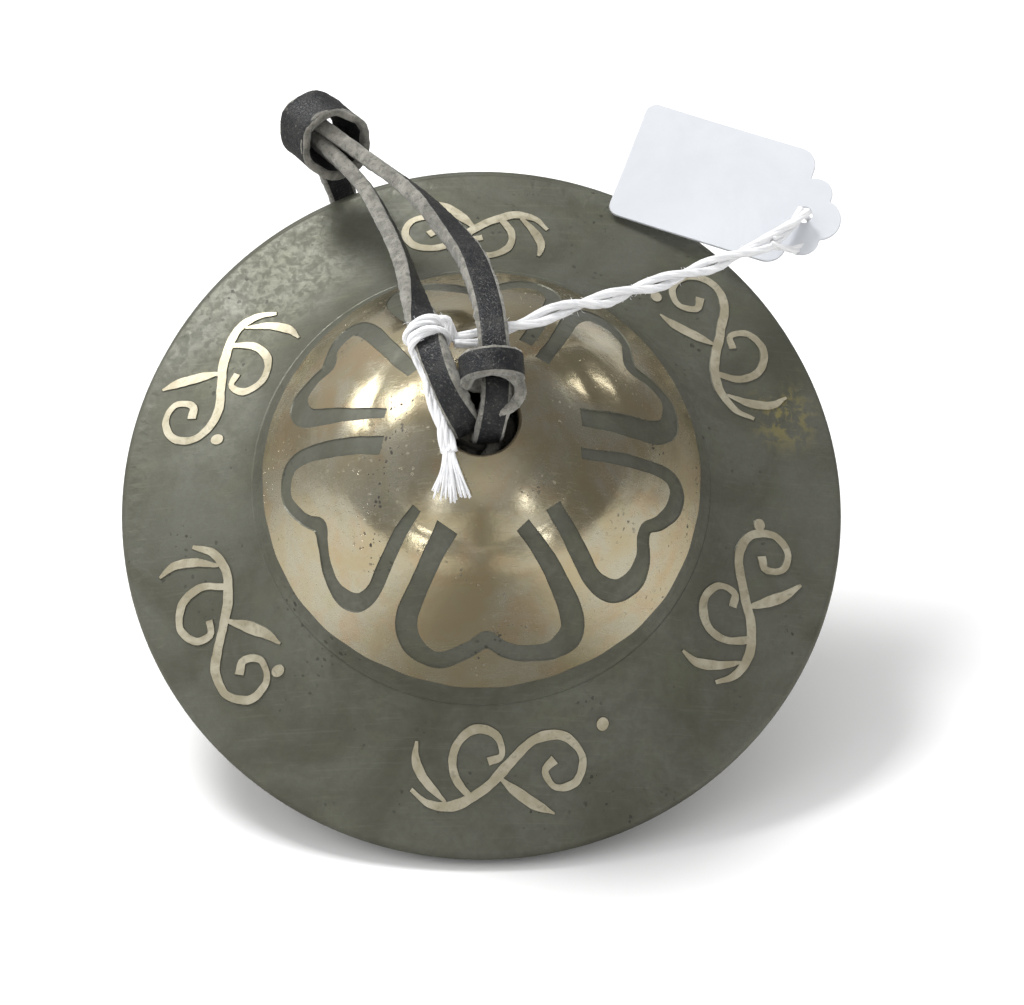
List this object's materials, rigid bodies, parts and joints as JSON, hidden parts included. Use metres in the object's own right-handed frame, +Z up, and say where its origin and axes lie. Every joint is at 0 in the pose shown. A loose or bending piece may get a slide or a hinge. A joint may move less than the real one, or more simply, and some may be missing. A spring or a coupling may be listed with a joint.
{
  "type": "pair of hand cymbals",
  "caption": "Two small domed cast-bronze hand cymbals joined by a knotted leather thong, laid mouth to mouth and leaning, with a strung card ticket.",
  "frame": {"origin": "on the table under the middle of the leaning pair, cords and ticket left out", "axes": "+X across the pair, along the low edge that it rests on; +Y away from that edge, towards the raised far rim; +Z up"},
  "size_m": [0.0757, 0.0648, 0.0609],
  "materials": {
    "cast_bronze": "dark grey-green patina with worn polished bronze dome and ornaments",
    "leather": "dark grain side, grey-brown suede edges",
    "cotton": "two-ply twisted white cotton",
    "card": "plain white card"
  },
  "bodies": {
    "thong_lower": {"lower_neck": "leather", "lower_stopper_knot": "leather", "lower_knot_loop": "leather", "lower_knot_collar": "leather", "lower_run_a": "leather", "lower_run_b": "leather"},
    "cymbal_lower": {"lower_cymbal": "cast_bronze"},
    "thong_upper": {"upper_neck": "leather", "upper_stopper_knot": "leather", "upper_knot_loop": "leather", "upper_knot_collar": "leather", "upper_run_a": "leather", "upper_run_b": "leather", "tag_string": "cotton", "string_tie": "cotton", "string_tails": "cotton"},
    "cymbal_upper": {"upper_cymbal": "cast_bronze"},
    "slider": {"slider_outer_wrap": "leather", "slider_inner_wrap": "leather"},
    "ticket": {"tag_card": "card"}
  },
  "joints": [
    {"name": "lower_spin", "type": "hinge", "parent": "thong_lower", "child": "cymbal_lower", "pos_m": [0, 0.00045, 0.02529], "axis": [0, -0.6455, 0.7638], "continuous": true},
    {"name": "lift", "type": "slide", "parent": "thong_lower", "child": "thong_upper", "axis": [0, -0.6455, 0.7638], "range_m": [0, 0.01], "deforming": ["lower_run_a", "lower_run_b"]},
    {"name": "upper_spin", "type": "hinge", "parent": "thong_upper", "child": "cymbal_upper", "pos_m": [0, -0.00053, 0.02459], "axis": [0, -0.6455, 0.7638], "continuous": true},
    {"name": "slider_slide", "type": "slide", "parent": "thong_upper", "child": "slider", "axis": [0.5741, -0.809, -0.1258], "range_m": [0, 0.008], "deforming": ["upper_run_a", "upper_run_b"]},
    {"name": "ticket_swing", "type": "hinge", "parent": "thong_upper", "child": "ticket", "pos_m": [0.0343, 0.01963, 0.04922], "axis": [0.6441, 0.6663, 0.3757], "range_deg": [0, 120]}
  ]
}
